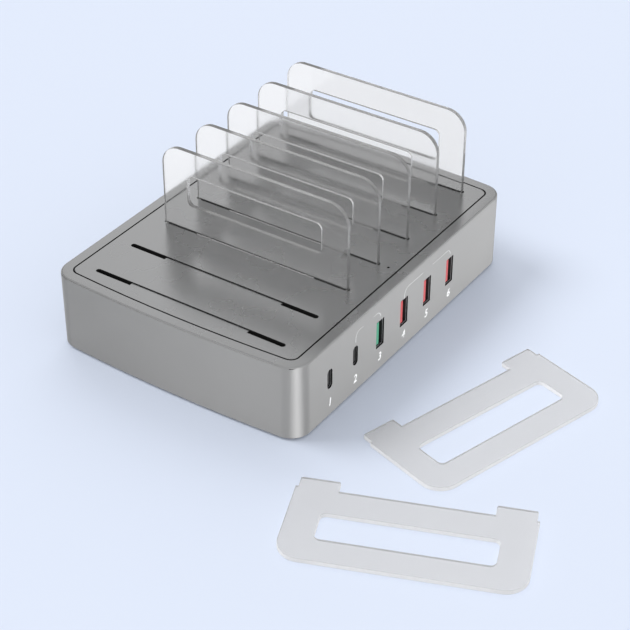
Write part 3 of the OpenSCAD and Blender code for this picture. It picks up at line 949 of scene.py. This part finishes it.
@dataclass
class DividerSet:
    """The clear sheets: five standing in rows 3 to 7 and two loose ones on the desk.

    Attributes:
        width: a sheet's width.
        height: its height above the shoulders.
        thickness: its thickness.
        corner: the radius of its top corners.
        window_side: the solid sheet beside the window.
        window_height: the window's height.
        window_drop: the distance from the top edge to the window.
        window_corner: the radius of the window's corners.
        tab_inner: where a tab starts, from the middle.
        tab_outer: where a tab ends, from the middle.
        tab_length: how far a tab reaches below the shoulders.
        tab_corner: the radius of a tab's lower corners.
        tab_overlap: how far a tab runs into the sheet that it is joined to.
        points: the points in each round corner of the sheet, of the window and of a tab.
        merged_within: the distance within which a cut sheet's points are one.
        flat_within: the angle within which its faces are one, in degrees.
        edge: the rounding of the sheet's edges.
        shoulder: the height of the shoulders above the desk when a sheet stands in its row.
        rows: where the five standing sheets are, along X.
        loose: the place and turn of each loose sheet on the desk.
    """

    width: float = 94.2
    height: float = 39.8
    thickness: float = 2.0
    corner: float = 9.4
    window_side: float = 12.9
    window_height: float = 14.5
    window_drop: float = 12.0
    window_corner: float = 2.5
    tab_inner: float = 30.3
    tab_outer: float = 46.0
    tab_length: float = 5.5
    tab_corner: float = 0.8
    tab_overlap: float = 2.0
    points: tuple[int, int, int] = (14, 8, 4)
    merged_within: float = 0.002
    flat_within: float = 0.4
    edge: float = 0.16
    shoulder: float = 35.75
    rows: tuple[float, ...] = (-23.3, 0.0, 23.3, 46.6, 69.9)
    loose: tuple[Point, ...] = ((-81.3, -117.8, 111.4), (-19.2, -94.2, 163.2))

    def pattern(self) -> Pattern:
        """Make the tree that cuts one sheet, flat in XY, with its shoulders on Y = 0.

        Returns:
            The finished pattern.
        """
        cut = Pattern("divider_sheet")
        sizes = cut.inputs(*self.sizes())
        width, height, thickness, corner, window_w, window_h, drop, window_r = sizes[:8]
        inner, outer, tab_l, tab_r = sizes[8:]
        y = add_node(cut.tree, "ShaderNodeSeparateXYZ", {0: cut.add("InputPosition")}).outputs[1]
        upper, lower = cut.calc("GREATER_THAN", y, 0.0), cut.calc("LESS_THAN", y, 0.0)
        plate = cut.rounded(width, height, cut.calc("MULTIPLY", corner, upper), self.points[0])
        sheet = cut.slab(cut.moved(plate, y=cut.calc("MULTIPLY", height, 0.5)), thickness)
        window = cut.rounded(window_w, window_h, window_r, self.points[1])
        middle = cut.calc("SUBTRACT", height, cut.calc("MULTIPLY_ADD", window_h, 0.5, drop))
        window = cut.moved(window, y=middle, z=cut.calc("MULTIPLY", thickness, -0.5))
        hole = cut.slab(window, cut.calc("MULTIPLY", thickness, 2.0))
        overlap = self.tab_overlap * MM
        tab_w, tab_h = cut.calc("SUBTRACT", outer, inner), cut.calc("ADD", tab_l, overlap)
        down = cut.calc("SUBTRACT", overlap, cut.calc("MULTIPLY", tab_h, 0.5))
        parts = [sheet]
        for side in (-1.0, 1.0):
            x = cut.calc("MULTIPLY", cut.calc("ADD", outer, inner), 0.5 * side)
            tab = cut.rounded(tab_w, tab_h, cut.calc("MULTIPLY", tab_r, lower), self.points[2])
            parts.append(cut.slab(cut.moved(tab, x, down), thickness))
        whole = cut.add("MeshBoolean", {1: parts}, operation="UNION", solver="EXACT")
        cut.close(cut.add("MeshBoolean", {0: whole, 1: hole}, operation="DIFFERENCE", solver="EXACT"))
        return cut

    def sizes(self) -> dict[str, float]:
        """Return the sizes that the tree takes, in its order.

        Returns:
            The sizes in millimetres, by the names of the tree's inputs.
        """
        return {
            "Width": self.width, "Height": self.height, "Thickness": self.thickness,
            "Corner Radius": self.corner, "Window Width": self.width - 2 * self.window_side,
            "Window Height": self.window_height, "Window Drop": self.window_drop,
            "Window Radius": self.window_corner, "Tab Inner": self.tab_inner,
            "Tab Outer": self.tab_outer, "Tab Length": self.tab_length, "Tab Radius": self.tab_corner,
        }

    def sheet(self, cut: Pattern, name: str, place: Matrix) -> Piece:
        """Cut one sheet, put it in its place and polish its edges.

        Args:
            cut: the sheet's pattern.
            name: the sheet's name.
            place: where it goes, in metres.

        Returns:
            The finished sheet.
        """
        made = cut.build(name + "_blank", Finishes.SHEET, self.sizes())
        shape = bmesh.new()
        shape.from_mesh(made.data)
        bmesh.ops.remove_doubles(shape, verts=shape.verts, dist=self.merged_within * MM)
        flat = math.radians(self.flat_within)
        bmesh.ops.dissolve_limit(shape, verts=shape.verts, edges=shape.edges, angle_limit=flat)
        shape.to_mesh(made.data)
        shape.free()
        made.data.transform(place)
        return polished(made, name, self.edge)

    def build(self) -> None:
        """Cut and place the seven sheets."""
        cut = self.pattern()
        upright = Matrix.Rotation(math.radians(90), 4, "Z") @ Matrix.Rotation(math.radians(90), 4, "X")
        for number, x in enumerate(self.rows, 1):
            corner = Matrix.Translation(Vector((x - self.thickness / 2, 0.0, self.shoulder)) * MM)
            sheet = self.sheet(cut, f"divider_sheet_{number}", corner @ upright)
            dressed(sheet, Finishes.SHEET, f"divider_{number}_body", f"divider_{number}")
            second_finish(sheet, Finishes.SHEET_EDGE, lambda face: is_across(face, X))
        for number, (x, y, turn) in enumerate(self.loose, 1):
            lying = Matrix.Translation(Vector((x, y, 0.0)) * MM)
            lying = lying @ Matrix.Rotation(math.radians(turn), 4, "Z")
            lying = lying @ Matrix.Translation(Vector((0.0, self.tab_length, 0.0)) * MM)
            sheet = self.sheet(cut, f"loose_sheet_{number}", lying)
            dressed(sheet, Finishes.LYING_SHEET, f"loose_divider_{number}_body", f"loose_divider_{number}")
            # The lying sheets' edges get the milky white edge finish, which is partly a painted highlight.
            second_finish(sheet, Finishes.LYING_EDGE, lambda face: is_across(face, Z))


class PortKind(Enum):
    """The two kinds of receptacle."""

    TYPE_C = "usb_c"
    TYPE_A = "usb_a"


@dataclass
class PortRow:
    """The six receptacles in the long side, their contacts, and the print round them.

    Attributes:
        first: where the first port is, along X.
        pitch: the distance from one port to the next.
        middle: the height of the ports' middle.
        face: where the long side is, along Y.
        case_edge: the rounding of a receptacle's edges.
        tongue_edge: the rounding of a tongue's edges.
        lip: how far in from the long side a receptacle's case keeps its steel; deeper in, its faces are
            painted black as painted shade.
        tongue_reach: how far a tongue stands out from its place in the CAD model.
    """

    first: float = -59.0
    pitch: float = 18.75
    middle: float = 19.186
    face: float = -62.0
    case_edge: float = 0.08
    tongue_edge: float = 0.12
    lip: float = 0.8
    tongue_reach: float = 0.45

    def port_x(self, number: int) -> float:
        """Return where a port is along X, counted from 1."""
        return self.first + (number - 1) * self.pitch

    def receptacle(self, case: str, tongue: str, finish: Finishes) -> None:
        """Polish the case and the tongue of one receptacle, and paint the inside of the case black as
        painted shade.

        Args:
            case: the case's CAD node.
            tongue: the tongue's CAD node.
            finish: the tongue's finish.
        """
        made = refined(case, case + "_case", self.case_edge, Finishes.STEEL)
        # The steel case's faces deeper than the lip are painted black: painted shade inside the opening.
        second_finish(made, Finishes.BLACK, lambda face: face.center.y > (self.face + self.lip) * MM)
        made = merged_copy(tongue, tongue + "_moulding")
        front = min(point.co.y for point in made.data.vertices)
        for point in made.data.vertices:
            if point.co.y < front + self.tongue_reach * MM:
                point.co.y -= self.tongue_reach * MM
        dressed(polished(made, made.name, self.tongue_edge), finish, STATION, tongue)

    def build(self) -> None:
        """Build the receptacles and the print."""
        tongues = {
            PortKind.TYPE_C: (Finishes.BLACK, Finishes.BLACK),
            PortKind.TYPE_A: (Finishes.GREEN, Finishes.RED, Finishes.RED, Finishes.RED),
        }
        for kind, finishes in tongues.items():
            for number, finish in enumerate(finishes, 1):
                self.receptacle(f"{kind.value}_shell_{number}", f"{kind.value}_tongue_{number}", finish)
        Print(self).build()


@dataclass
class Print:
    """Plain numbers under the ports and two plain lines that group them.

    Attributes:
        row: the ports that the print belongs to.
        depth: how far the numbers stand proud of the long side.
        size: the font size of the numbers.
        slant: how far the numbers lean.
        swell: how much their strokes are widened.
        drop: how far the numbers' middle lies below the ports' middle.
        line: the width of the lines.
        line_rise: how far the lines lie above the ports' middle.
        start_rise: how far a line's left end lies above the ports' middle.
        end_rise: how far its right end does.
        line_corner: the radius of a line's corners.
        half_gap: half the length of a line's bare middle.
    """

    row: PortRow
    depth: float = 0.02
    size: float = 5.4
    slant: float = 0.15
    swell: float = 0.06
    drop: float = 12.0
    line: float = 0.22
    line_rise: float = 11.4
    start_rise: float = 6.6
    end_rise: float = 8.6
    line_corner: float = 3.0
    half_gap: float = 4.0

    def numbers(self) -> Piece:
        """Make the six numbers as one mesh, put up on the long side.

        Returns:
            The numbers, joined.
        """
        joined = bmesh.new()
        for number in range(1, 7):
            curve = bpy.data.curves.new(f"number_{number}", "FONT")
            curve.body = str(number)
            curve.size = self.size * MM
            curve.align_x = curve.align_y = "CENTER"
            curve.shear = self.slant
            curve.offset = self.swell * MM
            curve.resolution_u = 4
            flat = baked(shown(curve, curve.name), curve.name)
            place = (self.row.port_x(number), self.row.face - self.depth, self.row.middle - self.drop)
            turn = Matrix.Rotation(math.radians(90), 4, "X")
            flat.data.transform(Matrix.Translation(Vector(place) * MM) @ turn)
            joined.from_mesh(flat.data)
            bpy.data.objects.remove(flat)
        return meshed(joined, "printed_numbers")

    def line_pattern(self) -> Pattern:
        """Make the tree that draws a grouping line with round corners and a bare middle.

        Returns:
            The finished pattern.
        """
        draw = Pattern("grouping_line")
        start, end, low, high, hook = draw.inputs("Start X", "End X", "Low Z", "High Z", "Hook Z")
        y, radius, width, gap_from, gap_to = draw.inputs("Y", "Radius", "Width", "Gap From", "Gap To")
        profile = draw.add("CurvePrimitiveCircle", {"Resolution": 6, "Radius": width})
        parts = []
        for x, z, stop in ((start, low, gap_from), (end, hook, gap_to)):
            corner = draw.vector(x, y, high)
            foot = draw.add("CurvePrimitiveLine", {"Start": draw.vector(x, y, z), "End": corner})
            arm = draw.add("CurvePrimitiveLine", {"Start": corner, "End": draw.vector(stop, y, high)})
            points = draw.add("CurveToMesh", {"Curve": draw.add("JoinGeometry", {0: [foot, arm]})})
            path = draw.add("MeshToCurve", {"Mesh": draw.merged(points)})
            path = draw.add("FilletCurve", {
                "Curve": path, "Radius": radius, "Count": 8, "Limit Radius": True,
            }, mode="POLY")
            parts.append(draw.add("CurveToMesh", {
                "Curve": path, "Profile Curve": profile, "Fill Caps": True,
            }))
        draw.close(draw.add("JoinGeometry", {0: parts}))
        return draw

    def build(self) -> None:
        """Print the numbers and both lines."""
        dressed(self.numbers(), Finishes.INK, STATION)
        draw = self.line_pattern()
        level = self.row.middle
        for number, (first, last) in enumerate(((2, 3), (4, 6)), 1):
            start, end = self.row.port_x(first), self.row.port_x(last)
            middle = (start + end) / 2
            made = draw.build(f"printed_line_{number}", Finishes.INK, {
                "Start X": start, "End X": end, "Low Z": level + self.start_rise,
                "High Z": level + self.line_rise, "Hook Z": level + self.end_rise, "Y": self.row.face,
                "Radius": self.line_corner, "Width": self.line / 2, "Gap From": middle - self.half_gap,
                "Gap To": middle + self.half_gap,
            })
            dressed(made, Finishes.INK, STATION)


@dataclass
class Fasteners:
    """The four cross-head screws under the base.

    Attributes:
        across: how far the screws are from the middle, along X.
        along: how far they are from the middle, along Y.
        head: the radius of a head.
        head_height: the height of a head.
        cross: the length of the cross in it.
        cross_bar: the width of the cross's bars, as a share of that length.
        sunk: how deep the cross is and how far into the head the shank starts, as a share of its height.
        edge: the rounding of the edges.
    """

    across: float = 73.5
    along: float = 54.0
    head: float = 2.6
    head_height: float = 1.6
    cross: float = 2.6
    cross_bar: float = 0.26
    sunk: float = 0.9
    edge: float = 0.12

    def sizes(self) -> dict[str, float]:
        """Return the sizes that the tree takes, in its order.

        Returns:
            The sizes in millimetres, by the names of the tree's inputs.
        """
        low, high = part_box("base_screws")
        return {
            "Head Radius": self.head, "Head Height": self.head_height, "Cross Length": self.cross,
            "Shank Length": (high.z - low.z) / MM - self.head_height, "Half Width": self.across,
            "Half Length": self.along, "Level": low.z / MM,
        }

    def pattern(self) -> Pattern:
        """Make the tree that puts a cross-head screw on each corner of a rectangle.

        Returns:
            The finished pattern.
        """
        screw = Pattern("cross_head_screws")
        radius, height, cross, shank, across, along, level = screw.inputs(*self.sizes())
        deep = screw.calc("MULTIPLY", height, self.sunk)
        head = screw.add("MeshCylinder", {"Vertices": 40, "Radius": radius, "Depth": height})
        head = screw.moved(head, z=screw.calc("MULTIPLY", height, 0.5))
        body = screw.add("MeshCylinder", {
            "Vertices": 24, "Radius": screw.calc("MULTIPLY", radius, 0.5), "Depth": shank,
        })
        body = screw.moved(body, z=screw.calc("MULTIPLY_ADD", shank, 0.5, deep))
        bar = screw.calc("MULTIPLY", cross, self.cross_bar)
        boxes = ((cross, bar, deep), (bar, cross, deep))
        arms = [screw.add("MeshCube", {"Size": screw.vector(*box)}) for box in boxes]
        cut = screw.add("MeshBoolean", {0: head, 1: arms}, operation="DIFFERENCE", solver="EXACT")
        whole = screw.add("MeshBoolean", {1: [cut, body]}, operation="UNION", solver="EXACT")
        points = screw.add("MeshGrid", {
            "Size X": screw.calc("MULTIPLY", across, 2.0), "Size Y": screw.calc("MULTIPLY", along, 2.0),
            "Vertices X": 2, "Vertices Y": 2,
        })
        points = screw.moved(points, z=level)
        screw.close(screw.add("InstanceOnPoints", {"Points": points, "Instance": whole}))
        return screw

    def build(self) -> None:
        """Build the base screws as one piece."""
        made = self.pattern().build("base_screws_raw", Finishes.STEEL, self.sizes())
        dressed(polished(made, "cross_head_base_screws", self.edge), Finishes.STEEL, STATION, "base_screws")


@dataclass
class Inside:
    """The boards and what they carry, which keep their CAD shapes, and two parts that show outside.

    Attributes:
        finishes: the CAD nodes that have each finish.
        guide_edge: the rounding of the light guide's edges.
        inlet_edge: the rounding of the mains inlet's edges.
    """

    finishes: tuple[tuple[Finishes, tuple[str, ...]], ...] = (
        (Finishes.BLACK, (
            "board_connector", "bridge_rectifier", "bulk_capacitors", "controller_chips", "line_fuse",
            "output_capacitors", "power_transistors", "transformer_bobbin",
        )),
        (Finishes.STEEL, ("board_screws", "inlet_pins")),
        (Finishes.FERRITE, ("choke_core", "port_inductors", "transformer_core")),
        (Finishes.WIRE, ("choke_winding",)),
        (Finishes.TAPE, ("line_capacitor", "transformer_winding")),
        (Finishes.BOARD, ("led_board", "port_board", "power_board")),
        (Finishes.SINK, ("primary_heat_sink", "secondary_heat_sink")),
        (Finishes.GOLD, ("usb_a_contacts", "usb_c_contacts")),
        (Finishes.WHITE, ("status_led",)),
    )
    guide_edge: float = 0.05
    inlet_edge: float = 0.3

    def build(self) -> None:
        """Give each inner CAD node its finish, and polish the light guide and the mains inlet."""
        for finish, nodes in self.finishes:
            for node in nodes:
                for slot in frame["nodes"][node].material_slots:
                    slot.material = finish.value.material()
            LOG.info("%s: %s", finish.value.name, ", ".join(nodes))
        refined("light_pipe", "light_guide", self.guide_edge, Finishes.GUIDE)
        refined("inlet_body", "mains_inlet", self.inlet_edge, Finishes.BLACK)


@dataclass(frozen=True)
class Viewpoint:
    """Where the photograph was taken from.

    Attributes:
        target: the point that the camera looks at, in millimetres.
        azimuth: the turn round the object, in degrees.
        elevation: the height above the horizon, in degrees.
        distance: from the camera to the target, in millimetres.
        roll: the camera's turn about its own axis, in degrees.
        sensor: the width of the camera's sensor.
        lens: the focal length for that sensor.
        clip: how near and how far the camera sees, in metres.
    """

    target: Point = (15.9503, -4.3957, -16.5467)
    azimuth: float = -56.1397
    elevation: float = 35.3466
    distance: float = 811.5208
    roll: float = 0.2029
    sensor: float = 36.0
    lens: float = 102.1434
    clip: Range = (0.01, 50.0)

    def place(self) -> None:
        """Create the camera and make it the scene's."""
        back = toward(self.azimuth, self.elevation)
        right = Vector((0.0, 0.0, 1.0)).cross(back).normalized()
        up = back.cross(right)
        tilt = math.radians(self.roll)
        side = math.cos(tilt) * right + math.sin(tilt) * up
        top = -math.sin(tilt) * right + math.cos(tilt) * up
        pose = Matrix((side, top, back)).transposed().to_4x4()
        pose.translation = (Vector(self.target) + back * self.distance) * MM
        data = bpy.data.cameras.new("photo_camera")
        data.sensor_width = self.sensor
        data.lens = self.lens
        data.clip_start, data.clip_end = self.clip
        camera = shown(data, "photo_camera")
        camera.matrix_world = pose
        bpy.context.scene.camera = camera


@dataclass(frozen=True)
class Glow:
    """A soft patch of the studio round the object.

    Attributes:
        azimuth: its direction, measured like the camera's, in degrees.
        elevation: its height above the horizon, in degrees.
        inner: the angle at which it starts to fade, in degrees.
        outer: the angle at which it has faded away, in degrees.
        gain: how much it adds to the studio's light, below 0 to take away.
    """

    azimuth: float
    elevation: float
    inner: float
    outer: float
    gain: float


@dataclass(frozen=True)
class Lamp:
    """Base of the lamps, which point at the object.

    Attributes:
        name: its name.
        azimuth: its direction from the object, measured like the camera's, in degrees.
        elevation: its height above the horizon, in degrees.
        power: its power in watts, or in watts per square metre for a sun.
    """

    name: str
    azimuth: float
    elevation: float
    power: float

    def placed(self, kind: str, distance: float) -> Piece:
        """Create the lamp and point it at the object.

        Args:
            kind: the type of Blender light.
            distance: how far off it stands, in millimetres.

        Returns:
            The lamp's object.
        """
        data = bpy.data.lights.new(self.name, kind)
        data.energy = self.power
        made = shown(data, self.name)
        aim = toward(self.azimuth, self.elevation)
        made.location = aim * distance * MM
        made.rotation_mode = "QUATERNION"
        made.rotation_quaternion = aim.to_track_quat("Z", "Y")
        return made


@dataclass(frozen=True)
class Sun(Lamp):
    """A soft sun that shows in no reflection.

    Attributes:
        angle: how wide it looks from the object, in degrees.
    """

    angle: float

    def hang(self) -> None:
        """Hang the sun."""
        made = self.placed("SUN", SUN_DISTANCE)
        made.data.angle = math.radians(self.angle)
        made.visible_glossy = made.visible_transmission = False


@dataclass(frozen=True)
class Softbox(Lamp):
    """A square softbox that lights some of the pieces, past the floor if it stands below it.

    Attributes:
        distance: how far off it stands, in millimetres.
        size: the length of its side, in millimetres.
        lights: how the names of the pieces start that it lights.
    """

    distance: float
    size: float
    lights: tuple[str, ...]

    def hang(self) -> None:
        """Hang the softbox and link it to its pieces."""
        made = self.placed("AREA", self.distance)
        made.data.shape = "SQUARE"
        made.data.size = self.size * MM
        lit = bpy.data.collections.new(self.name + "_pieces")
        for piece in bpy.context.scene.objects:
            if piece.name.startswith(self.lights):
                lit.objects.link(piece)
        made.light_linking.receiver_collection = lit
        if self.elevation < 0:
            made.light_linking.blocker_collection = lit


SIDES = ("shell", "usb_", "printed_", "mains_inlet")


@dataclass
class Studio:
    """The pale floor, two soft suns, four softboxes and the even studio round them.

    Attributes:
        base: the strength of the even studio.
        least: the least strength that the patches leave.
        light: the colour of the studio's light.
        backdrop: the colour that the camera sees behind the floor.
        glows: the soft patches of the studio.
        lamps: the suns and the softboxes.
        floor_reach: how far the floor reaches from the middle.
        floor_drop: how far it lies below the object.
    """

    base: float = 0.75
    least: float = 0.02
    light: Color = (1.0, 1.0, 1.0)
    backdrop: Color = (0.765, 0.835, 0.96)
    glows: tuple[Glow, ...] = (
        Glow(98.0, 4.0, 4.0, 22.0, -0.6),
        Glow(-152.0, 8.0, 10.0, 36.0, -0.76),
        Glow(127.0, 36.0, 8.0, 36.0, -0.48),
    )
    lamps: tuple[Sun | Softbox, ...] = (
        Sun("side_sun", -160.6, 46.5, 1.34, 32.0),
        Sun("back_sun", 124.0, 36.0, 0.9, 52.0),
        Softbox("back_softbox", 127.0, 34.0, 0.64, 1000.0, 560.0, ("shell", "inlaid_plate")),
        Softbox("corner_softbox", -30.0, -30.0, 5.2, 900.0, 540.0, SIDES),
        Softbox("port_softbox", 50.0, -30.0, 3.9, 900.0, 480.0, SIDES),
        Softbox("end_softbox", -114.0, -30.0, 0.5, 900.0, 340.0, SIDES),
    )
    floor_reach: float = 8000.0
    floor_drop: float = 0.05

    def world(self) -> None:
        """Make the even studio with its soft patches."""
        world = bpy.data.worlds.new("soft_studio")
        bpy.context.scene.world = world
        world.use_nodes = True
        tree = world.node_tree
        tree.nodes.clear()
        direction = add_node(tree, "ShaderNodeTexCoord").outputs["Generated"]
        light = self.base
        for glow in self.glows:
            aim = tuple(toward(glow.azimuth, glow.elevation))
            near = add_node(tree, "ShaderNodeVectorMath", {0: direction, 1: aim}, operation="DOT_PRODUCT")
            outer, inner = (math.cos(math.radians(angle)) for angle in (glow.outer, glow.inner))
            patch = spread(tree, near.outputs["Value"], outer, inner, 0.0, glow.gain)
            light = math_node(tree, "ADD", patch, light)
        light = math_node(tree, "MAXIMUM", light, self.least)
        around = add_node(tree, "ShaderNodeBackground", {"Color": rgba(self.light), "Strength": light})
        behind = add_node(tree, "ShaderNodeBackground", {"Color": rgba(self.backdrop), "Strength": 1.0})
        direct = add_node(tree, "ShaderNodeLightPath").outputs["Is Camera Ray"]
        both = add_node(tree, "ShaderNodeMixShader", {0: direct, 1: around.outputs[0], 2: behind.outputs[0]})
        add_node(tree, "ShaderNodeOutputWorld", {"Surface": both.outputs[0]})

    def floor(self) -> None:
        """Lay the floor that the station stands on."""
        shape = bmesh.new()
        bmesh.ops.create_grid(shape, x_segments=8, y_segments=8, size=self.floor_reach * MM)
        bmesh.ops.translate(shape, verts=shape.verts, vec=(0.0, 0.0, -self.floor_drop * MM))
        floor = meshed(shape, "studio_floor")
        floor.data.materials.append(Finishes.FLOOR.value.material())

    def build(self) -> None:
        """Build the studio."""
        self.world()
        for lamp in self.lamps:
            lamp.hang()
        self.floor()


def write_sizes() -> None:
    """Update the view layer."""
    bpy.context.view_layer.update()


def main() -> None:
    """Build the scene in order: camera, then each sub-assembly, and the studio last."""
    logging.basicConfig(level=logging.INFO, format="%(name)s: %(message)s")
    bpy.context.scene.view_settings.view_transform = "Standard"
    Viewpoint().place()
    for part in (Shell(), DividerSet(), PortRow(), Fasteners(), Inside(), Studio()):
        LOG.info("building %s", type(part).__name__)
        part.build()
    write_sizes()


if __name__ == "__main__":
    main()
